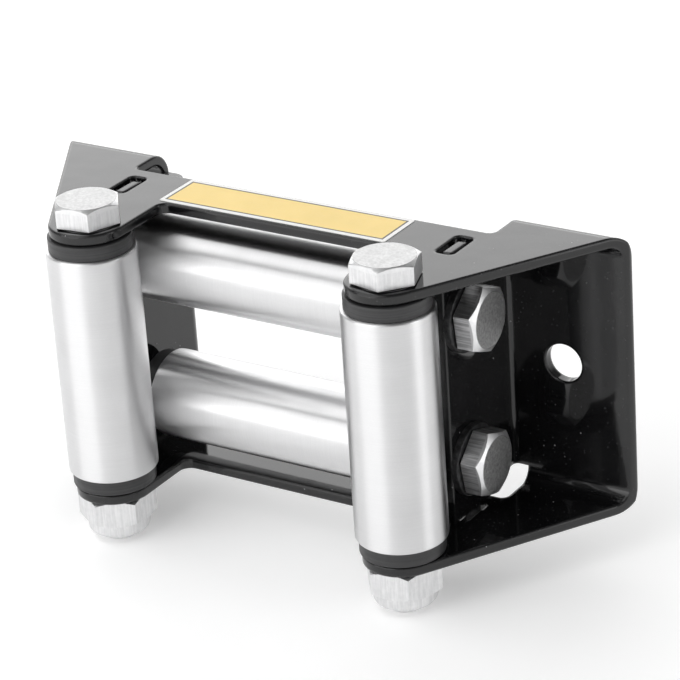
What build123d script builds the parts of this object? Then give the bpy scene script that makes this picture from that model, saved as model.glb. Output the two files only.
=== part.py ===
from build123d import *
import math
import os

# Roller fairlead: one bent sheet frame, four steel rollers on hex bolts.
# Millimetres. +Z is up, +Y points back to the winch, the cable leaves towards -Y.
# The origin is on the rear mounting face, midway between the two mounting holes.

# Sheet frame
sheet = 3.0
bend_inner_radius = 4.0
fold_inner_radius = 1.5
inside_height = 75.0
overall_width = 180.0
hole_end_distance = 20.0
hole_diameter = 11.0
edge_chamfer = 0.4

# Plan of the top and bottom flanges, measured forward from the rear face
nose_radius = 11.0
ear_end_depth = 1.8
band_front = 33.4
band_rear = 15.8
inner_corner_radius = 3.0
notch_corner_radius = 2.0

# Side plates folded forward out of the rear window
ear_width = 39.25
side_plate_roller_gap = 3.5
side_plate_edge_gap = 0.6
relief_past_fold = 2.25
shoulder_start = 12.0
tab_length = 9.0
tab_below_flush = 0.5
tab_corner_cut = 0.7
tab_edge_chamfer = 0.4
slot_side_gap = 1.4
slot_end_gap = 1.6
slot_corner_radius = 1.8

# Places of the rollers
vertical_axis_inset = 3.75
vertical_axis_forward = 52.0
level_roller_gap = 0.4
roller_flange_gap = 4.0

# Rollers and their flanged bushes
roller_diameter = 25.0
roller_wall = 2.5
roller_chamfer = 0.5
bush_flange_step = 0.9
bush_flange_thickness = 4.2
bush_flange_chamfer = 0.3
bush_sleeve_length = 12.0
bush_lead_in = 0.6
bush_press_gap = 0.02
bush_running_gap = 0.08
end_play = 0.3
level_end_play = 2.05

# M12 hex bolts with a small head, lock nuts with a nylon ring, and washers
bolt_diameter = 12.0
bolt_hole_gap = 0.5
bolt_end_chamfer = 1.2
bolt_proud = 1.8
head_width = 17.0
head_height = 6.4
head_seat_step = 0.6
head_seat_height = 0.4
hex_chamfer_angle = 30.0
nut_hex_height = 8.0
nut_height = 12.0
nut_collar_wall = 1.5
nut_collar_step = 0.7
nut_collar_round = 1.9
nut_end_face = 0.1
nut_thread_gap = 0.05
ring_wall = 1.3
ring_depth = 2.6
ring_lip_height = 0.6
ring_gap = 0.02
washer_overhang = 1.5
washer_thickness = 2.0
washer_edge_chamfer = 0.3

# Angles of the heads and nuts as they happen to be tightened
left_head_turn = 7.0
right_head_turn = -11.0
upper_head_turn = 8.0
lower_head_turn = 12.0
left_nut_turn = 33.0
right_nut_turn = 7.0
upper_nut_turn = 5.0
lower_nut_turn = 24.0

# Decal on the centre band
decal_end_gap = 14.75
decal_edge_gap = 0.85
decal_thickness = 0.2
decal_offset_x = -1.5
decal_corner_radius = 0.6

# Worked out from the sizes above
bend_outer_radius = bend_inner_radius + sheet
fold_outer_radius = fold_inner_radius + sheet
half_height = inside_height / 2 + sheet
half_width = overall_width / 2
hole_x = half_width - hole_end_distance
plate_inner_x = half_width - ear_width
plate_outer_x = plate_inner_x + sheet
plate_mid_x = plate_inner_x + sheet / 2
ear_inner_x = plate_inner_x + fold_outer_radius
fold_start_y = -fold_outer_radius
fold_height = half_height - bend_outer_radius
roller_radius = roller_diameter / 2
vertical_x = plate_inner_x - vertical_axis_inset
vertical_y = -vertical_axis_forward
horizontal_y = vertical_y + roller_diameter + level_roller_gap
horizontal_z = inside_height / 2 - roller_flange_gap - roller_radius
side_plate_front = vertical_axis_forward - roller_radius - side_plate_roller_gap
reach = vertical_axis_forward + nose_radius
throat_x = vertical_x - nose_radius
vertical_roller_length = inside_height - 2 * (bush_flange_thickness + end_play)
level_roller_length = 2 * plate_inner_x - 2 * (bush_flange_thickness + level_end_play)
bolt_radius = bolt_diameter / 2
bolt_hole_radius = bolt_radius + bolt_hole_gap
ring_radius = bolt_radius + ring_wall
ring_middle_z = -nut_height + ring_lip_height + ring_depth / 2
nut_collar_radius = ring_radius + nut_collar_wall
nut_width = 2 * (nut_collar_radius + nut_collar_step)
washer_radius = head_width / 2 + washer_overhang
decal_length = 2 * (plate_inner_x - decal_end_gap)
decal_width = band_front - band_rear - 2 * decal_edge_gap


def chamfered_hexagon(width, height, both_ends):
    """Hexagon on Z = 0, corners trimmed by a cone at the top, or at both ends."""
    corner = width / 2 / math.cos(math.radians(30))
    rim = width / 2 * 0.96
    drop = (corner - rim) * math.tan(math.radians(hex_chamfer_angle))
    prism = extrude(RegularPolygon(corner, 6), height)
    outline = [(0, 0), (rim, 0), (corner, drop)] if both_ends else [(0, 0), (corner, 0)]
    outline += [(corner, height - drop), (rim, height), (0, height)]
    return prism & revolve(Plane.XZ * make_face(Polyline(*outline, close=True)), Axis.Z)


def hex_bolt(grip):
    """Hex bolt along -Z: its seat at Z = 0, the head above, the shank below."""
    seat = extrude(Circle(head_width / 2 - head_seat_step), head_seat_height)
    hexagon = chamfered_hexagon(head_width, head_height - head_seat_height, False)
    length = grip + nut_height + bolt_proud
    shank = Pos(0, 0, -length / 2) * Cylinder(bolt_radius, length)
    shank = chamfer(shank.edges().group_by(Axis.Z)[0], bolt_end_chamfer)
    return seat + Pos(0, 0, head_seat_height) * hexagon + shank


def nylon_ring():
    """Ring inside the collar of a lock nut that stands below Z = 0."""
    ring = Pos(0, 0, ring_middle_z) * Cylinder(ring_radius - ring_gap, ring_depth)
    return ring - Pos(0, 0, ring_middle_z) * Cylinder(bolt_radius + ring_gap, ring_depth + 1)


def lock_nut():
    """Lock nut below Z = 0: hexagon, rounded collar and the recess of its nylon ring."""
    hexagon = Pos(0, 0, -nut_hex_height) * chamfered_hexagon(nut_width, nut_hex_height, True)
    collar = Pos(0, 0, -nut_height / 2) * Cylinder(nut_collar_radius, nut_height)
    collar = fillet(collar.edges().group_by(Axis.Z)[0], nut_collar_round)
    bore = Pos(0, 0, -nut_height / 2) * Cylinder(bolt_radius + nut_thread_gap, nut_height + 1)
    recess = Pos(0, 0, ring_middle_z) * Cylinder(ring_radius, ring_depth)
    mouth_radius = nut_collar_radius - nut_collar_round - nut_end_face
    mouth = Pos(0, 0, -nut_height + ring_lip_height / 2) * Cylinder(mouth_radius, ring_lip_height)
    return hexagon + collar - bore - recess - mouth


def plain_washer():
    """Plain washer on Z = 0."""
    disc = Pos(0, 0, washer_thickness / 2) * Cylinder(washer_radius, washer_thickness)
    disc = chamfer(disc.edges().group_by(Axis.Z)[-1], washer_edge_chamfer)
    return disc - Pos(0, 0, washer_thickness / 2) * Cylinder(bolt_hole_radius, washer_thickness + 1)


def roller_tube(length):
    """Steel tube along Z about the origin, its end edges broken."""
    tube = Cylinder(roller_radius, length)
    rims = tube.edges().filter_by(GeomType.CIRCLE)
    tube = chamfer(rims, roller_chamfer)
    return tube - Cylinder(roller_radius - roller_wall, length + 1)


def flanged_bush():
    """Bush in a tube end: sleeve to -Z, flange from Z = 0 to its thickness."""
    sleeve_radius = roller_radius - roller_wall - bush_press_gap
    sleeve = Pos(0, 0, -bush_sleeve_length / 2) * Cylinder(sleeve_radius, bush_sleeve_length)
    sleeve = chamfer(sleeve.edges().group_by(Axis.Z)[0], bush_lead_in)
    flange_radius = roller_radius - bush_flange_step
    flange = Pos(0, 0, bush_flange_thickness / 2) * Cylinder(flange_radius, bush_flange_thickness)
    flange = chamfer(flange.edges().group_by(Axis.Z)[-1], bush_flange_chamfer)
    through = bush_sleeve_length + bush_flange_thickness + 2
    bore = Cylinder(bolt_radius + bush_running_gap, 2 * through)
    return sleeve + flange - bore


def flange_outline():
    """Plan of a flange: two noses, a centre band between them and flared ears."""
    run = half_width - vertical_x
    rise = vertical_axis_forward - ear_end_depth
    slope = math.atan2(rise, run) + math.asin(nose_radius / math.hypot(run, rise))
    touch = (vertical_x + nose_radius * math.sin(slope), vertical_y - nose_radius * math.cos(slope))
    tip = (vertical_x, vertical_y - nose_radius)
    shape = make_face(
        Polyline((0, 0), (half_width, 0), (half_width, -ear_end_depth), touch)
        + ThreePointArc(touch, tip, (throat_x, vertical_y))
        + Polyline((throat_x, vertical_y), (throat_x, -band_front), (0, -band_front), (0, 0))
    )
    inner = shape.vertices().sort_by_distance((throat_x, -band_front, 0))[0]
    shape = fillet(inner, inner_corner_radius)
    return shape + mirror(shape, Plane.YZ)


def channel():
    """Channel that the sheet makes: top flange, rear wall and bottom flange, along X."""
    length = reach + 5
    outer = Pos(-length / 2, 0) * Rectangle(length, 2 * half_height)
    outer = fillet(outer.vertices().group_by(Axis.X)[-1], bend_outer_radius)
    inner = Pos(-length / 2 - sheet, 0) * Rectangle(length, inside_height)
    inner = fillet(inner.vertices().group_by(Axis.X)[-1], bend_inner_radius)
    section = outer - inner
    return extrude(Plane.YZ * section, half_width + 1, both=True)


def rear_window():
    """Cut behind the centre band: the opening between the folds and a relief past each end."""
    relief = Rectangle(2 * (ear_inner_x + relief_past_fold), 2 * band_rear)
    relief = fillet(relief.vertices().group_by(Axis.Y)[0], notch_corner_radius)
    ends = extrude(relief, half_height + 1, both=True) - extrude(relief, fold_height, both=True)
    return ends + extrude(Rectangle(2 * ear_inner_x, 2 * band_rear), fold_height, both=True)


def break_cut_edges(body):
    """Break the cut edges of the bent sheet, but not along the folds and their ends."""
    upright = [face for face in body.faces() if abs(face.normal_at().Z) < 0.01]
    cut_faces = [face for face in upright if abs(face.normal_at().Y) < 0.99 or face.center().Y < -2 * sheet]
    edges = ShapeList(edge for face in cut_faces for edge in face.edges())
    rim = ShapeList(edge for edge in edges if edges.count(edge) == 1)
    rim = [edge for edge in rim if abs(abs(edge.center().X) - ear_inner_x) > 0.01]
    rim = [edge for edge in rim if abs(abs(edge.center().Z) - fold_height) > 0.01]
    return chamfer(rim, edge_chamfer)


def side_plate():
    """Right side plate: a flap folded at the ear, with shoulders and a tab at each end."""
    flat_length = side_plate_front - fold_outer_radius
    flat = Pos(plate_mid_x, fold_start_y - flat_length / 2) * Rectangle(sheet, flat_length)
    centre = Pos(ear_inner_x, fold_start_y)
    quarter = Pos(ear_inner_x - fold_outer_radius / 2, fold_start_y + fold_outer_radius / 2)
    fold = centre * Circle(fold_outer_radius) - centre * Circle(fold_inner_radius)
    fold = fold & quarter * Rectangle(fold_outer_radius, fold_outer_radius)
    plate = extrude(flat + fold, fold_height, both=True)
    shoulder_length = side_plate_front - shoulder_start
    shoulder = Pos(plate_mid_x, -shoulder_start - shoulder_length / 2) * Rectangle(sheet, shoulder_length)
    plate = plate + extrude(shoulder, inside_height / 2 - side_plate_edge_gap, both=True)
    tab_top = half_height - tab_below_flush
    outline = Pos(horizontal_y, 0) * Rectangle(tab_length, 2 * tab_top)
    outline = chamfer(outline.vertices(), tab_corner_cut)
    tab = extrude(Plane.YZ * outline, sheet)
    sides = tab.faces().sort_by(Axis.X)
    tab = chamfer(sides[0].edges() + sides[-1].edges(), tab_edge_chamfer)
    return plate + Pos(plate_inner_x, 0, 0) * tab


def tab_slot():
    """Slot through both flanges round the tabs of the right side plate."""
    outline = Rectangle(sheet + 2 * slot_side_gap, tab_length + 2 * slot_end_gap)
    outline = fillet(outline.vertices(), slot_corner_radius)
    return extrude(Pos(plate_mid_x, horizontal_y) * outline, half_height + 1, both=True)


def bent_frame():
    """The whole frame: one sheet with flanges, ears, side plates and all holes."""
    body = channel() & extrude(flange_outline(), half_height + 1, both=True)
    body = break_cut_edges(body - rear_window())
    slot = tab_slot()
    body = body - slot - mirror(slot, Plane.YZ)
    plate = side_plate()
    body = body + plate + mirror(plate, Plane.YZ)
    for side in (-1, 1):
        body = body - Pos(side * vertical_x, vertical_y, 0) * Cylinder(bolt_hole_radius, 3 * half_height)
        level = Pos(0, horizontal_y, side * horizontal_z) * Rot(0, 90, 0)
        body = body - level * Cylinder(bolt_hole_radius, 2 * ear_inner_x)
        body = body - Pos(side * hole_x, 0, 0) * Rot(90, 0, 0) * Cylinder(hole_diameter / 2, 4 * sheet)
    return body


def decal():
    """Thin plain decal on the centre band of the top flange."""
    outline = Rectangle(decal_length, decal_width)
    outline = fillet(outline.vertices(), decal_corner_radius)
    middle_y = -(band_front + band_rear) / 2
    return Pos(decal_offset_x, middle_y, half_height) * extrude(outline, decal_thickness)


parts = {}
parts["frame"] = bent_frame()
parts["decal"] = decal()

# Vertical rollers: bolt heads on the top flange, nuts under the bottom flange
vertical_bolts = (("left", -1, left_head_turn, left_nut_turn), ("right", 1, right_head_turn, right_nut_turn))
for name, side, head_turn, nut_turn in vertical_bolts:
    place = Pos(side * vertical_x, vertical_y, 0)
    parts[f"{name}_bolt"] = place * Pos(0, 0, half_height) * Rot(0, 0, head_turn) * hex_bolt(2 * half_height)
    parts[f"{name}_nut"] = place * Pos(0, 0, -half_height) * Rot(0, 0, nut_turn) * lock_nut()
    parts[f"{name}_nylon_ring"] = place * Pos(0, 0, -half_height) * nylon_ring()
    parts[f"{name}_roller"] = place * roller_tube(vertical_roller_length)
    end = Pos(0, 0, vertical_roller_length / 2)
    parts[f"{name}_roller_top_bush"] = place * end * flanged_bush()
    parts[f"{name}_roller_bottom_bush"] = place * Rot(180, 0, 0) * end * flanged_bush()

# Level rollers: bolt heads on washers at the right side plate, nuts at the left one
slide = level_end_play - end_play
horizontal_bolts = (("upper", 1, upper_head_turn, upper_nut_turn), ("lower", -1, lower_head_turn, lower_nut_turn))
for name, side, head_turn, nut_turn in horizontal_bolts:
    place = Pos(0, horizontal_y, side * horizontal_z) * Rot(0, 90, 0)
    head_seat = plate_outer_x + washer_thickness
    grip = head_seat + plate_outer_x
    parts[f"{name}_bolt"] = place * Pos(0, 0, head_seat) * Rot(0, 0, head_turn) * hex_bolt(grip)
    parts[f"{name}_washer"] = place * Pos(0, 0, plate_outer_x) * plain_washer()
    parts[f"{name}_nut"] = place * Pos(0, 0, -plate_outer_x) * Rot(0, 0, nut_turn) * lock_nut()
    parts[f"{name}_nylon_ring"] = place * Pos(0, 0, -plate_outer_x) * nylon_ring()
    middle = Pos(0, 0, -side * slide)
    parts[f"{name}_roller"] = place * middle * roller_tube(level_roller_length)
    end = Pos(0, 0, level_roller_length / 2)
    parts[f"{name}_roller_right_bush"] = place * middle * end * flanged_bush()
    parts[f"{name}_roller_left_bush"] = place * middle * Rot(180, 0, 0) * end * flanged_bush()

os.makedirs("parts", exist_ok=True)
for name, solid in parts.items():
    solid.label = name
    export_step(solid, f"parts/{name}.step")
    print(name, round(solid.volume, 1), len(solid.solids()))
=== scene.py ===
import math

import bmesh
import bpy
from mathutils import Matrix, Vector


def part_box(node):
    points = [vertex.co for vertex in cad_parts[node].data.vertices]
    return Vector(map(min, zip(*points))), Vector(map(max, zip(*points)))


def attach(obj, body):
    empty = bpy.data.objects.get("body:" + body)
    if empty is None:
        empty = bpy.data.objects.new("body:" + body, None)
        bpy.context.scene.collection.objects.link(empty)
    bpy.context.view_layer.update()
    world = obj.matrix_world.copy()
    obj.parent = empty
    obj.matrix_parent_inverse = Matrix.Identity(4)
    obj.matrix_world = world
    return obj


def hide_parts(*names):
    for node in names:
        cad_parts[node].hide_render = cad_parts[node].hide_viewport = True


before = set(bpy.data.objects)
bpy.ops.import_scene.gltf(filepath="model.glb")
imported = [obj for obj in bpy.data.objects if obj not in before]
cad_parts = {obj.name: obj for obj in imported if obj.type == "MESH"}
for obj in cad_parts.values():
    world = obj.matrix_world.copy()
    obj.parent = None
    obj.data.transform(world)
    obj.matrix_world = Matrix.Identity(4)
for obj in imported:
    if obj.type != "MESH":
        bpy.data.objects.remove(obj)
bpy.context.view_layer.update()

# Sizes in metres, the same as the solids have
TUBE_RADIUS = 0.0125
TUBE_BORE = 0.010
BUSH_RADIUS = 0.0116
BUSH_FLANGE = 0.0042
BUSH_SLEEVE = 0.012
BUSH_BORE = 0.00608
BUSH_PRESS_GAP = 0.00002
BOLT_RADIUS = 0.006
BOLT_END_CHAMFER = 0.0012
HEAD_HEIGHT = 0.0064
RING_RADIUS = 0.00728
RING_BORE = 0.00602
DECAL_THICKNESS = 0.0002

# Sizes that only the finished pieces have
THREAD_ROOT = 0.0051
THREAD_PITCH = 0.00175
THREAD_LENGTH = 0.0165
THREAD_RUNOUT = 0.0009
THREAD_SINK = 0.0001
THREAD_CREST_LOSS = 0.00008
THREAD_HALF_ROOT = 0.00078
THREAD_HALF_CREST = 0.00012
THREAD_START = 0.0004
THREAD_TRIM = 0.00005
SHANK_TOP = 0.0005
SHANK_POLE = 0.0003
SHANK_END_STEP = 0.0004
HEAD_CUT = 0.0001
HEAD_FACE_RADIUS = 0.0076
HEAD_FACE_DEPTH = 0.00006
CROWN_SLOPE = math.radians(30)
CROWN_CUTS = 72
GROOVE_OUTER = 0.0014
GROOVE_INNER = 0.0011
GROOVE_DEPTH = 0.0003

# Rounds on the edges, and the turn in degrees from which an edge counts as sharp
COAT_ROUND = 0.00034
COAT_FLOW = 0.0011
COAT_SHARP = 32
HEX_ROUND = 0.00012
HEX_SHARP = 28
TURNED_SHARP = 25
SHADED_SHARP = 50
TUBE_RIM_ROUND = 0.0006
TUBE_MOUTH_ROUND = 0.0003
BUSH_RIM_ROUND = 0.00035
RING_ROUND = 0.00025
DECAL_CORNER = 0.0006
DECAL_EDGE_ROUND = 0.00008

# The decal's print, and how soft the border of each field is
DECAL_MARGIN = 0.0012
DECAL_LINE = 0.00055
PRINT_BLUR = 0.00005

# Distances within which a node's points are one, new points are one or on a cut, and
# a point lies on a radius
COPY_MERGE = 1e-6
FINE_MERGE = 1e-7
ON_RADIUS = 1e-5

FLOOR_SIZE = 4.0
FLOOR_HEIGHT = -0.0546
WHITE = (1, 1, 1, 1)
CAMERA_PLACE = (0.4406, -0.6609, 0.3590)
CAMERA_TURN = math.radians(33.889)
CAMERA_LIFT = math.radians(24.79)
CAMERA_ROLL = math.radians(-4.001)
CAMERA_LENS = 165.2
CAMERA_SENSOR = 36.0


# Materials

def new_material(name):
    """New material, with its node tree and its Principled shader."""
    material = bpy.data.materials.new(name)
    material.use_nodes = True
    tree = material.node_tree
    return material, tree, tree.nodes["Principled BSDF"]


def add_node(tree, kind, values=(), links=(), **settings):
    """One node with its settings, socket values and incoming links."""
    node = tree.nodes.new(kind)
    for key, value in settings.items():
        setattr(node, key, value)
    for socket, value in dict(values).items():
        node.inputs[socket].default_value = value
    for socket, source in dict(links).items():
        tree.links.new(source, node.inputs[socket])
    return node


def set_shader(tree, shader, sockets):
    """Sets the shader's sockets, each to a plain value or to the output of a node."""
    for name, value in sockets.items():
        if isinstance(value, (float, tuple)):
            shader.inputs[name].default_value = value
        else:
            tree.links.new(value, shader.inputs[name])


def object_points(tree, scale=(1, 1, 1), shift=(0, 0, 0)):
    """Object coordinates through a Mapping node."""
    where = add_node(tree, "ShaderNodeTexCoord")
    mapped = add_node(
        tree, "ShaderNodeMapping", {"Scale": scale, "Location": shift},
        {"Vector": where.outputs["Object"]},
    )
    return mapped.outputs["Vector"]


def split_points(tree, points):
    """The X, Y and Z of points, as the outputs of one node."""
    return add_node(tree, "ShaderNodeSeparateXYZ", (), {"Vector": points}).outputs


def noise(tree, points, size, detail=2.0, rough=0.5):
    """Noise whose blobs are about the given size across, in metres."""
    node = add_node(
        tree, "ShaderNodeTexNoise",
        {"Scale": 1 / size, "Detail": detail, "Roughness": rough}, {"Vector": points},
    )
    return node.outputs["Fac"]


def drawn_noise(tree, axis, along, across, rough=0.5):
    """Noise drawn out into lines, from how often it changes along an axis and across it."""
    scale = [across, across, across]
    scale["XYZ".index(axis)] = along
    return noise(tree, object_points(tree, tuple(scale)), 1.0, 2.0, rough)


def grains(tree, points, apart):
    """Voronoi cells that lie about the given distance apart, in metres."""
    return add_node(tree, "ShaderNodeTexVoronoi", {"Scale": 1 / apart}, {"Vector": points})


def spread(tree, value, low, high, out_low, out_high):
    """Value from low to high made to run from out_low to out_high, and held there."""
    node = add_node(
        tree, "ShaderNodeMapRange",
        {"From Min": low, "From Max": high, "To Min": out_low, "To Max": out_high},
        {"Value": value},
    )
    return node.outputs["Result"]


def worked_out(tree, operation, *terms):
    """Result of a Math node on its terms, each a node's output or a plain number."""
    node = add_node(tree, "ShaderNodeMath", operation=operation)
    for socket, term in zip(node.inputs, terms):
        if isinstance(term, float):
            socket.default_value = term
        else:
            tree.links.new(term, socket)
    return node.outputs[0]


def shades(tree, value, *stops):
    """Colours along a value, as (position, grey or colour) pairs."""
    node = add_node(tree, "ShaderNodeValToRGB", (), {"Fac": value})
    ramp = node.color_ramp
    while len(ramp.elements) < len(stops):
        ramp.elements.new(0.5)
    for element, (position, tone) in zip(ramp.elements, stops):
        element.position = position
        colour = tone if isinstance(tone, tuple) else (tone, tone, tone)
        element.color = (*colour, 1.0)
    return node.outputs["Color"]


def mixed(tree, factor, first, second):
    """Mix of two colours, each a node's output or a plain colour."""
    node = add_node(tree, "ShaderNodeMix", data_type="RGBA")
    tree.links.new(factor, node.inputs[0])
    for socket, tone in ((node.inputs[6], first), (node.inputs[7], second)):
        if isinstance(tone, tuple):
            socket.default_value = (*tone, 1.0)
        else:
            tree.links.new(tone, socket)
    return node.outputs[2]


def bump(tree, height, depth, under=None):
    """Bump of a height map, its full swing the given depth in metres."""
    node = add_node(tree, "ShaderNodeBump", {"Distance": depth}, {"Height": height})
    if under is not None:
        tree.links.new(under, node.inputs["Normal"])
    return node.outputs["Normal"]


def seen_rays(tree):
    """Light Path node, and 1 on the rays that look straight, by a mirror or through glass."""
    path = add_node(tree, "ShaderNodeLightPath")
    camera, glossy = path.outputs["Is Camera Ray"], path.outputs["Is Glossy Ray"]
    seen = worked_out(tree, "MAXIMUM", camera, glossy)
    return path, worked_out(tree, "MAXIMUM", seen, path.outputs["Is Transmission Ray"])


def choose_shader(tree, output, factor, first, second):
    """Puts the first or the second shader on the output, by the factor."""
    choice = add_node(
        tree, "ShaderNodeMixShader", (),
        {0: factor, 1: first.outputs[0], 2: second.outputs[0]},
    )
    tree.links.new(choice.outputs[0], tree.nodes[output].inputs["Surface"])


def powder_coat():
    """Gloss black coat: deep and wet-looking, slowly waved, with a few specks of dust."""
    material, tree, shader = new_material("black_powder_coat")
    points = object_points(tree)
    cloud = noise(tree, points, 0.018, 3.0)
    tone = shades(tree, cloud, (0.35, (0.0045, 0.0045, 0.005)), (0.7, (0.009, 0.009, 0.0095)))
    specks = grains(tree, points, 0.0042).outputs
    near = spread(tree, specks["Distance"], 0.030, 0.058, 1.0, 0.0)
    chosen = add_node(tree, "ShaderNodeSeparateColor", (), {"Color": specks["Color"]})
    some = spread(tree, chosen.outputs["Red"], 0.45, 0.55, 0.0, 0.75)
    fine = grains(tree, points, 0.0015).outputs["Distance"]
    faint = spread(tree, fine, 0.06, 0.13, 0.16, 0.0)
    dust = worked_out(tree, "MAXIMUM", worked_out(tree, "MULTIPLY", near, some), faint)
    haze = noise(tree, points, 0.006, 3.0)
    rough = spread(tree, haze, 0.3, 0.7, 0.045, 0.085)
    peel = noise(tree, points, 0.0021, 2.0, 0.4)
    wave = noise(tree, points, 0.011, 1.0)
    rounded = add_node(tree, "ShaderNodeBevel", {"Radius": COAT_FLOW}, samples=8)
    normal = bump(tree, peel, 0.000004, rounded.outputs["Normal"])
    normal = bump(tree, wave, 0.00005, normal)
    set_shader(tree, shader, {
        "Base Color": mixed(tree, dust, tone, (0.40, 0.40, 0.41)),
        "Specular IOR Level": 0.55,
        "Roughness": mixed(tree, dust, rough, (0.6, 0.6, 0.6)),
        "Normal": bump(tree, dust, 0.00003, normal),
    })
    return material


def turned_steel(name, axis, rough_low, rough_high):
    """Bright steel turned about an axis: hair-fine lines round it and a stretched gloss."""
    material, tree, shader = new_material(name)
    lines = drawn_noise(tree, axis, 7000, 90)
    bands = drawn_noise(tree, axis, 260, 6)
    cloud = noise(tree, object_points(tree), 0.009, 3.0)
    grain = noise(tree, object_points(tree), 0.00035, 1.0)
    tone = shades(tree, lines, (0.3, (0.765, 0.765, 0.77)), (0.7, (0.80, 0.80, 0.805)))
    banded = spread(tree, bands, 0.4, 0.7, 0.0, 0.25)
    tone = mixed(tree, banded, tone, (0.755, 0.755, 0.76))
    grained = spread(tree, grain, 0.3, 0.7, 0.0, 0.35)
    tangent = add_node(tree, "ShaderNodeTangent", direction_type="RADIAL", axis=axis)
    set_shader(tree, shader, {
        "Base Color": mixed(tree, grained, tone, (0.74, 0.74, 0.745)),
        "Metallic": 1.0,
        "Roughness": spread(tree, cloud, 0.3, 0.7, rough_low, rough_high),
        "Anisotropic": 0.9,
        "Anisotropic Rotation": 0.25,
        "Tangent": tangent.outputs["Tangent"],
        "Normal": bump(tree, grain, 0.000001, bump(tree, lines, 0.0000008)),
    })
    return material


def zinc_plate(name, axis, head_top, face_tones_and_shade, pit_depth, line_depth, streak):
    """Bright zinc on a forged head or nut: finely mottled, with drawn lines along its axis.

    The head's own face, at its top on that axis, is left duller, as it was forged; the darker
    face tones given for the level heads are painted shade. The streaks show on the flats only,
    and stop under the chamfer.
    """
    material, tree, shader = new_material(name)
    lines = drawn_noise(tree, axis, 90, 1500, 0.6)
    spangle = noise(tree, object_points(tree), 0.0016, 4.0, 0.6)
    patch = noise(tree, object_points(tree, shift=(0.03, 0.01, 0.02)), 0.006, 2.0)
    tone = shades(
        tree, spangle, (0.32, (0.75, 0.755, 0.76)), (0.5, (0.79, 0.79, 0.795)),
        (0.66, (0.83, 0.83, 0.835)),
    )
    patched = spread(tree, patch, 0.4, 0.7, 0.0, 0.5)
    tone = mixed(tree, patched, tone, (0.81, 0.81, 0.815))
    height = split_points(tree, object_points(tree))[axis]
    face_at = head_top - HEAD_FACE_DEPTH
    face = spread(tree, height, face_at - 0.00002, face_at + 0.00002, 0.0, 1.0)
    flats = spread(tree, height, face_at - 0.0015, face_at - 0.0012, streak, 0.0)
    drawn = spread(tree, lines, 0.42, 0.62, 1.0, 0.0)
    streaks = worked_out(tree, "MULTIPLY", drawn, flats)
    tone = mixed(tree, streaks, tone, (0.30, 0.30, 0.305))
    scale = noise(tree, object_points(tree), 0.0009, 4.0, 0.7)
    # face tones: duller forged face, and on the level heads also painted shade
    face_tone_and_shade = shades(tree, scale, (0.36, face_tones_and_shade[0]), (0.64, face_tones_and_shade[1]))
    pits = worked_out(tree, "MULTIPLY", scale, face)
    normal = bump(tree, spangle, 0.000005)
    normal = bump(tree, lines, line_depth, normal)
    set_shader(tree, shader, {
        "Base Color": mixed(tree, face, tone, face_tone_and_shade),
        "Metallic": 1.0,
        "Roughness": spread(tree, spangle, 0.3, 0.7, 0.46, 0.36),
        "Normal": bump(tree, pits, pit_depth, normal),
    })
    return material


def bush_plastic(name, axis):
    """Dark engineering plastic, with the faint rings of its turning."""
    material, tree, shader = new_material(name)
    lines = drawn_noise(tree, axis, 2600, 40)
    grain = noise(tree, object_points(tree), 0.0012, 3.0)
    tone = shades(tree, lines, (0.35, (0.026, 0.026, 0.027)), (0.65, (0.042, 0.042, 0.043)))
    set_shader(tree, shader, {
        "Base Color": tone,
        "Roughness": spread(tree, grain, 0.3, 0.7, 0.38, 0.5),
        "Normal": bump(tree, grain, 0.00001, bump(tree, lines, 0.00002)),
    })
    return material


def nylon_white():
    """Natural nylon of the lock rings."""
    material, tree, shader = new_material("natural_nylon")
    grain = noise(tree, object_points(tree), 0.0014, 3.0)
    set_shader(tree, shader, {
        "Base Color": shades(tree, grain, (0.3, (0.70, 0.70, 0.66)), (0.7, (0.80, 0.80, 0.77))),
        "Roughness": spread(tree, grain, 0.3, 0.7, 0.35, 0.5),
        "Normal": bump(tree, grain, 0.00001),
    })
    return material


def black_oxide():
    """Black oxide on the flat washers, a little worn."""
    material, tree, shader = new_material("black_oxide")
    wear = noise(tree, object_points(tree), 0.0016, 4.0, 0.6)
    tone = shades(tree, wear, (0.4, (0.018, 0.018, 0.019)), (0.75, (0.07, 0.07, 0.072)))
    set_shader(tree, shader, {
        "Base Color": tone,
        "Metallic": 0.4,
        "Roughness": spread(tree, wear, 0.3, 0.7, 0.3, 0.45),
        "Normal": bump(tree, wear, 0.00001),
    })
    return material


def decal_vinyl(middle, half_length, half_width):
    """Printed vinyl: yellow field, thin grey line and white margin, set out from its edges."""
    material, tree, shader = new_material("decal_vinyl")
    parts = split_points(tree, object_points(tree, shift=(-middle[0], -middle[1], 0)))
    inset = [
        worked_out(tree, "SUBTRACT", half, worked_out(tree, "ABSOLUTE", parts[axis]))
        for axis, half in (("X", half_length), ("Y", half_width))
    ]
    edge = worked_out(tree, "MINIMUM", *inset)
    line, field = (
        spread(tree, edge, border - PRINT_BLUR, border + PRINT_BLUR, 0.0, 1.0)
        for border in (DECAL_MARGIN, DECAL_MARGIN + DECAL_LINE)
    )
    cloud = noise(tree, object_points(tree), 0.012, 2.0)
    yellow = shades(tree, cloud, (0.3, (0.90, 0.66, 0.20)), (0.7, (0.95, 0.70, 0.22)))
    tone = mixed(tree, line, (0.90, 0.895, 0.88), (0.07, 0.067, 0.06))
    grain = noise(tree, object_points(tree), 0.0009, 2.0)
    set_shader(tree, shader, {
        "Base Color": mixed(tree, field, tone, yellow),
        "Specular IOR Level": 0.3,
        "Roughness": spread(tree, grain, 0.3, 0.7, 0.36, 0.46),
        "Normal": bump(tree, grain, 0.000003),
    })
    return material


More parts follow.
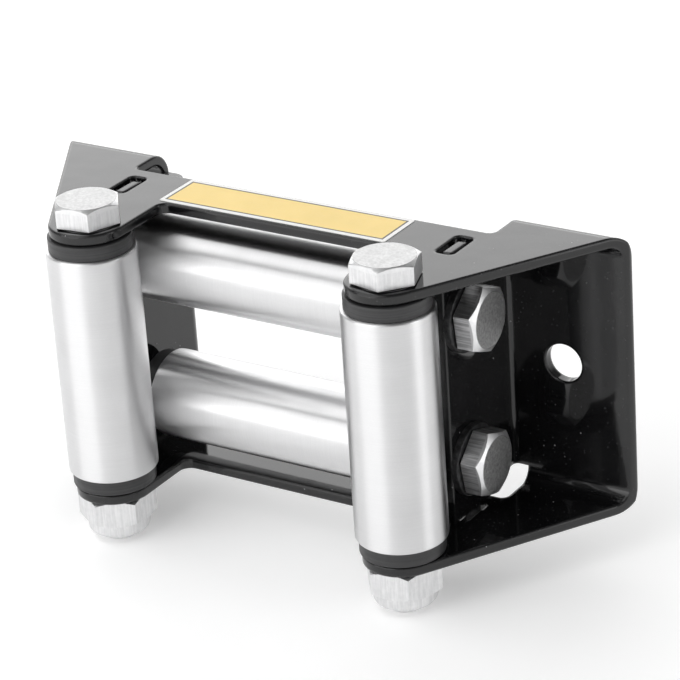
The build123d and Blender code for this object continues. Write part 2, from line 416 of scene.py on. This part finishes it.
def pale_floor():
    """Plain pale floor, lifted where it is looked at, its shadow kept, and clear from below."""
    material, tree, shader = new_material("pale_floor")
    mottle = noise(tree, object_points(tree), 0.5, 2.0)
    away = add_node(
        tree, "ShaderNodeVectorMath", (), {0: object_points(tree)}, operation="LENGTH",
    )
    reach = spread(tree, away.outputs["Value"], 0.5, 1.6, 0.24, 0.62)
    seen = seen_rays(tree)[1]
    set_shader(tree, shader, {
        "Base Color": shades(tree, mottle, (0.3, 0.93), (0.7, 0.95)),
        "Roughness": 0.9,
        "Specular IOR Level": 0.0,
        "Emission Color": WHITE,
        "Emission Strength": worked_out(tree, "MULTIPLY", seen, reach),
    })
    underside = add_node(tree, "ShaderNodeNewGeometry").outputs["Backfacing"]
    clear = add_node(tree, "ShaderNodeBsdfTransparent")
    choose_shader(tree, "Material Output", underside, shader, clear)
    return material


# Mesh work

def finish_piece(name, bm, material, body, node):
    """Object at the origin from a bmesh, with soft shading, in place of its node."""
    bmesh.ops.recalc_face_normals(bm, faces=bm.faces)
    for face in bm.faces:
        face.smooth = True
    for edge in bm.edges:
        edge.smooth = edge.calc_face_angle(0.0) < math.radians(SHADED_SHARP)
    mesh = bpy.data.meshes.new(name)
    bm.to_mesh(mesh)
    bm.free()
    mesh.materials.append(material)
    piece = bpy.data.objects.new(name, mesh)
    bpy.context.collection.objects.link(piece)
    shading = piece.modifiers.new("even_shading", "WEIGHTED_NORMAL")
    shading.keep_sharp = True
    shading.weight = 60
    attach(piece, body)
    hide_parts(node)
    return piece


def merged_copy(node):
    """The node's own surface as a bmesh, its triangles joined up."""
    bm = bmesh.new()
    bm.from_mesh(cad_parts[node].data)
    bmesh.ops.remove_doubles(bm, verts=bm.verts, dist=COPY_MERGE)
    return bm


def flat_faced_copy(node):
    """The node's merged surface, each flat face one face again."""
    bm = merged_copy(node)
    bmesh.ops.dissolve_limit(
        bm, angle_limit=math.radians(0.5), verts=bm.verts, edges=bm.edges,
    )
    return bm


def sharp_edges(bm, degrees=TURNED_SHARP):
    """Edges where the surface turns by more than the angle."""
    return [edge for edge in bm.edges if edge.calc_face_angle(0.0) > math.radians(degrees)]


def soften(bm, edges, width, segments=2):
    """Small round along the given edges."""
    bmesh.ops.bevel(
        bm, geom=edges, offset=width, offset_type="OFFSET", affect="EDGES",
        segments=segments, profile=0.5, material=-1, clamp_overlap=True,
    )


def outer_rims(bm, radius):
    """Sharp edges that lie on the radius about Z, or outside it."""
    return [e for e in sharp_edges(bm) if e.verts[0].co.xy.length > radius - ON_RADIUS]


def close_holes(bm):
    """Face over every open edge loop."""
    bmesh.ops.holes_fill(bm, edges=[edge for edge in bm.edges if edge.is_boundary])


def cut_off(bm, at, outwards, **side):
    """Cuts the whole bmesh by a plane, and clears the side that is named."""
    bmesh.ops.bisect_plane(
        bm, geom=[*bm.verts, *bm.edges, *bm.faces], dist=FINE_MERGE,
        plane_co=at, plane_no=outwards, **side,
    )
    close_holes(bm)


def spun(profile, steps=112):
    """Closed ring solid about Z from its (radius, height) corners."""
    bm = bmesh.new()
    corners = [bm.verts.new((radius, 0, height)) for radius, height in profile]
    edges = [bm.edges.new((corners[i - 1], corners[i])) for i in range(len(corners))]
    bmesh.ops.spin(
        bm, geom=corners + edges, cent=(0, 0, 0), axis=(0, 0, 1),
        angle=math.tau, steps=steps, use_merge=True, use_duplicate=False,
    )
    bmesh.ops.remove_doubles(bm, verts=bm.verts, dist=FINE_MERGE)
    return bm


def place(bm, where):
    """Move everything in the bmesh by a matrix."""
    bmesh.ops.transform(bm, matrix=where, verts=bm.verts)


def part_along(vector, axis):
    """The vector's part on a named axis."""
    return vector["XYZ".index(axis)]


def half_length(node, axis):
    """Half the node's length on its axis."""
    low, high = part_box(node)
    return (part_along(high, axis) - part_along(low, axis)) / 2


def axis_turn(axis):
    """Matrix that turns Z onto the axis of an upright or a level piece."""
    return Matrix.Rotation(math.radians(90), 4, "Y") if axis == "X" else Matrix.Identity(4)


def axis_frame(node, axis):
    """Matrix whose Z runs along the node's axis, from the middle of its box."""
    low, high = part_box(node)
    return Matrix.Translation((low + high) / 2) @ axis_turn(axis)


def painted_frame(material):
    """The bent sheet frame, every cut edge rounded over as the thick coat leaves it."""
    bm = flat_faced_copy("frame")
    soften(bm, sharp_edges(bm, COAT_SHARP), COAT_ROUND, 3)
    return finish_piece("painted_frame", bm, material, "frame", "frame")


def roller_tube(name, axis, material):
    """Steel tube with rounded rims and a bore that takes its bushes."""
    half = half_length(name, axis)
    bm = spun([(TUBE_BORE, -half), (TUBE_RADIUS, -half), (TUBE_RADIUS, half), (TUBE_BORE, half)])
    soften(bm, outer_rims(bm, TUBE_RADIUS), TUBE_RIM_ROUND, 4)
    mouths = [e for e in sharp_edges(bm) if e.verts[0].co.xy.length < TUBE_BORE + ON_RADIUS]
    soften(bm, mouths, TUBE_MOUTH_ROUND, 2)
    place(bm, axis_frame(name, axis))
    return finish_piece(f"{name}_tube", bm, material, name, name)


def flanged_bush(node, body, axis, outward, material):
    """Bush in a tube's end: a thick flange with a turned groove, and a sleeve."""
    half = (BUSH_FLANGE + BUSH_SLEEVE) / 2
    top, seat = half, half - BUSH_FLANGE
    sleeve = TUBE_BORE - BUSH_PRESS_GAP
    profile = [
        (BUSH_BORE, -half), (sleeve - 0.0005, -half), (sleeve, -half + 0.0006),
        (sleeve, seat), (BUSH_RADIUS, seat), (BUSH_RADIUS, top),
        (BUSH_BORE + GROOVE_OUTER, top), (BUSH_BORE + GROOVE_INNER, top - GROOVE_DEPTH),
        (BUSH_BORE, top - GROOVE_DEPTH),
    ]
    bm = spun(profile, 96)
    soften(bm, outer_rims(bm, BUSH_RADIUS), BUSH_RIM_ROUND, 3)
    if outward < 0:
        place(bm, Matrix.Rotation(math.pi, 4, "X"))
    place(bm, axis_frame(node, axis))
    return finish_piece(f"{node}_turned", bm, material, body, node)


def thread_ridge(start, turns, steps=28):
    """Closed V ridge wound about Z, downwards from the start height."""
    bm = bmesh.new()
    root, crest = THREAD_ROOT - THREAD_SINK, BOLT_RADIUS - THREAD_CREST_LOSS
    outline = [
        (root, THREAD_HALF_ROOT), (crest, THREAD_HALF_CREST),
        (crest, -THREAD_HALF_CREST), (root, -THREAD_HALF_ROOT),
    ]
    corners = [bm.verts.new((radius, 0, start + height)) for radius, height in outline]
    tooth = bm.faces.new(corners)
    bmesh.ops.spin(
        bm, geom=[tooth, *tooth.edges, *corners], cent=(0, 0, 0), axis=(0, 0, 1),
        dvec=(0, 0, -THREAD_PITCH / steps), angle=-math.tau * turns,
        steps=round(steps * turns), use_merge=False, use_duplicate=False,
    )
    return bm


def add_mesh(bm, other):
    """Put another bmesh into this one."""
    spare = bpy.data.meshes.new("spare")
    other.to_mesh(spare)
    other.free()
    bm.from_mesh(spare)
    bpy.data.meshes.remove(spare)


def crown_head(bm, top, direction):
    """Broad chamfer round a head's face, cut plane by plane."""
    sideways = direction.orthogonal().normalized()
    for step in range(CROWN_CUTS):
        out = Matrix.Rotation(math.tau * step / CROWN_CUTS, 3, direction) @ sideways
        slope = out * math.sin(CROWN_SLOPE) + direction * math.cos(CROWN_SLOPE)
        cut_off(bm, top + out * HEAD_FACE_RADIUS, slope, clear_outer=True)


def threaded_shank(length):
    """Bolt's shank down from Z = 0, with a thread wound on its end."""
    plain = length - THREAD_LENGTH
    shank = spun([
        (SHANK_POLE, SHANK_TOP), (BOLT_RADIUS, SHANK_TOP), (BOLT_RADIUS, -plain),
        (THREAD_ROOT, -plain - THREAD_RUNOUT), (THREAD_ROOT, -length + SHANK_END_STEP),
        (BOLT_RADIUS - BOLT_END_CHAMFER, -length), (SHANK_POLE, -length),
    ], 64)
    close_holes(shank)
    turns = (THREAD_LENGTH - BOLT_END_CHAMFER) / THREAD_PITCH
    ridge = thread_ridge(-plain - THREAD_START, turns)
    tip = BOLT_RADIUS - BOLT_END_CHAMFER + THREAD_TRIM
    for vert in ridge.verts:
        reach = tip + max(0.0, vert.co.z + length)
        if vert.co.xy.length > reach:
            vert.co.xy = vert.co.xy.normalized() * reach
    add_mesh(shank, ridge)
    return shank


def hex_bolt(name, axis, material):
    """Hex bolt: its head softened, a level one crowned first, and its threaded shank."""
    node = f"{name}_bolt"
    low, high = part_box(node)
    seat = part_along(high, axis) - HEAD_HEIGHT
    direction = Vector([float(letter == axis) for letter in "XYZ"])
    middle = (low + high) / 2
    foot = middle + direction * (seat - part_along(middle, axis))
    bm = flat_faced_copy(node)
    cut_off(bm, foot + direction * HEAD_CUT, direction, clear_inner=True)
    if axis == "X":
        crown_head(bm, foot + direction * HEAD_HEIGHT, direction)
    soften(bm, sharp_edges(bm, HEX_SHARP), HEX_ROUND)
    shank = threaded_shank(seat - part_along(low, axis))
    place(shank, Matrix.Translation(foot) @ axis_turn(axis))
    add_mesh(bm, shank)
    return finish_piece(f"{name}_hex_bolt", bm, material, "frame", node)


def lock_nut(name, material):
    """Lock nut, its hexagon's edges softened."""
    node = f"{name}_nut"
    bm = flat_faced_copy(node)
    soften(bm, sharp_edges(bm, HEX_SHARP), HEX_ROUND)
    return finish_piece(f"{name}_lock_nut", bm, material, "frame", node)


def lock_ring(name, axis, material):
    """Nylon ring in the nut's collar, rounded where it shows."""
    node = f"{name}_nylon_ring"
    half = half_length(node, axis)
    profile = [(RING_BORE, -half), (RING_RADIUS, -half), (RING_RADIUS, half), (RING_BORE, half)]
    bm = spun(profile, 72)
    soften(bm, sharp_edges(bm), RING_ROUND)
    place(bm, axis_frame(node, axis))
    return finish_piece(f"{name}_lock_ring", bm, material, "frame", node)


def flat_washer(name, material):
    """Flat washer under a level bolt's head."""
    node = f"{name}_washer"
    return finish_piece(f"{name}_flat_washer", merged_copy(node), material, "frame", node)


def decal_strip(material):
    """Decal on the centre band: a thin sheet with rounded corners and a soft edge."""
    low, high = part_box("decal")
    size, middle = high - low, (low + high) / 2
    bm = bmesh.new()
    bmesh.ops.create_grid(bm, x_segments=1, y_segments=1, size=0.5)
    stretched = Matrix.Diagonal((size.x, size.y, 1, 1))
    place(bm, Matrix.Translation((middle.x, middle.y, low.z)) @ stretched)
    bmesh.ops.bevel(
        bm, geom=list(bm.verts), offset=DECAL_CORNER, offset_type="OFFSET",
        affect="VERTICES", segments=5, profile=0.5, material=-1,
    )
    top = bmesh.ops.extrude_face_region(bm, geom=list(bm.faces), use_keep_orig=True)
    lifted = [item for item in top["geom"] if isinstance(item, bmesh.types.BMVert)]
    bmesh.ops.translate(bm, verts=lifted, vec=(0, 0, DECAL_THICKNESS))
    half_way = low.z + DECAL_THICKNESS / 2
    crest = [edge for edge in bm.edges if all(vert.co.z > half_way for vert in edge.verts)]
    soften(bm, crest, DECAL_EDGE_ROUND)
    return finish_piece("decal_strip", bm, material, "frame", "decal")


def roller_set(name, axis, ends, steel, plastic, zinc, nylon):
    """All that goes on one roller's bolt: tube, both bushes, the bolt, its nut and ring."""
    body = f"{name}_roller"
    roller_tube(body, axis, steel)
    for end, outward in zip(ends, (1, -1)):
        bush = flanged_bush(f"{body}_{end}_bush", body, axis, outward, plastic)
    hex_bolt(name, axis, zinc)
    lock_nut(name, zinc)
    lock_ring(name, axis, nylon)


# The object

decal_low, decal_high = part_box("decal")
decal_middle = (decal_low + decal_high) / 2
decal_half = (decal_high - decal_low) / 2
painted_frame(powder_coat())
decal_strip(decal_vinyl(decal_middle, decal_half.x, decal_half.y))

natural_nylon = nylon_white()
upright_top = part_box("left_bolt")[1].z
upright_finish = (
    turned_steel("turned_steel_upright", "Z", 0.37, 0.42),
    bush_plastic("bush_plastic_upright", "Z"),
    zinc_plate("zinc_plate_upright", "Z", upright_top, (0.40, 0.50), 0.00002, 0.000007, 0.16),
    natural_nylon,
)
for name in ("left", "right"):
    roller_set(name, "Z", ("top", "bottom"), *upright_finish)

level_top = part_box("upper_bolt")[1].x
level_finish = (
    turned_steel("turned_steel_level", "X", 0.30, 0.35),
    bush_plastic("bush_plastic_level", "X"),
    # the level heads' darker face tones (0.26, 0.45) are painted shade
    zinc_plate("zinc_plate_level", "X", level_top, (0.26, 0.45), 0.00004, 0.000024, 0.6),
    natural_nylon,
)
oxide = black_oxide()
for name in ("upper", "lower"):
    roller_set(name, "X", ("right", "left"), *level_finish)
    flat_washer(name, oxide)


# Floor, light and camera

def studio_floor():
    """Wide plain floor just under the bolt ends."""
    mesh = bpy.data.meshes.new("studio_floor")
    bm = bmesh.new()
    bmesh.ops.create_grid(bm, x_segments=4, y_segments=4, size=FLOOR_SIZE)
    bmesh.ops.translate(bm, verts=bm.verts, vec=(0, 0, FLOOR_HEIGHT))
    bm.to_mesh(mesh)
    bm.free()
    mesh.materials.append(pale_floor())
    floor = bpy.data.objects.new("studio_floor", mesh)
    bpy.context.collection.objects.link(floor)


def white_surround():
    """White world where it is seen, and a softer fill. Mirrored, it is dimmer overhead."""
    world = bpy.data.worlds.new("white_surround")
    bpy.context.scene.world = world
    world.use_nodes = True
    tree = world.node_tree
    fill = tree.nodes["Background"]
    fill.inputs["Color"].default_value = WHITE
    fill.inputs["Strength"].default_value = 0.42
    way = add_node(tree, "ShaderNodeTexCoord").outputs["Generated"]
    dim = spread(tree, split_points(tree, way)["Z"], 0.12, 0.42, 1.0, 0.18)
    path, seen = seen_rays(tree)
    bright = mixed(tree, path.outputs["Is Camera Ray"], dim, (1.0, 1.0, 1.0))
    white = add_node(tree, "ShaderNodeBackground", {"Strength": 1.0}, {"Color": bright})
    choose_shader(tree, "World Output", seen, fill, white)


def softbox(name, place_at, width, height, radiance):
    """Area lamp of an even brightness, aimed at the object."""
    data = bpy.data.lights.new(name, "AREA")
    data.shape = "RECTANGLE"
    data.size = width
    data.size_y = height
    data.energy = radiance * math.pi * width * height
    lamp = bpy.data.objects.new(name, data)
    lamp.location = place_at
    lamp.rotation_euler = (-Vector(place_at)).to_track_quat("-Z", "Y").to_euler()
    bpy.context.collection.objects.link(lamp)


def photo_camera():
    """Camera where the photograph was taken from."""
    data = bpy.data.cameras.new("photo_camera")
    data.lens = CAMERA_LENS
    data.sensor_width = CAMERA_SENSOR
    camera = bpy.data.objects.new("photo_camera", data)
    right = Vector((math.cos(CAMERA_TURN), math.sin(CAMERA_TURN), 0))
    level_back = Vector((math.sin(CAMERA_TURN), -math.cos(CAMERA_TURN), 0))
    back = level_back * math.cos(CAMERA_LIFT) + Vector((0, 0, math.sin(CAMERA_LIFT)))
    up = back.cross(right)
    tilted_right = right * math.cos(CAMERA_ROLL) + up * math.sin(CAMERA_ROLL)
    tilted_up = up * math.cos(CAMERA_ROLL) - right * math.sin(CAMERA_ROLL)
    turned = Matrix((tilted_right, tilted_up, back)).transposed().to_4x4()
    camera.matrix_world = Matrix.Translation(CAMERA_PLACE) @ turned
    bpy.context.collection.objects.link(camera)
    bpy.context.scene.camera = camera


studio_floor()
white_surround()
softbox("back_softbox", (-0.605, 0.90, 0.626), 1.4, 0.8, 2.0)
softbox("front_softbox", (-0.47, -1.16, 0.45), 1.3, 0.95, 1.55)
softbox("high_softbox", (-0.34, -0.50, 1.05), 1.6, 0.66, 1.45)
softbox("side_softbox", (1.3, 0.12, 0.34), 0.5, 0.8, 1.8)
photo_camera()
bpy.context.scene.view_settings.view_transform = "Standard"
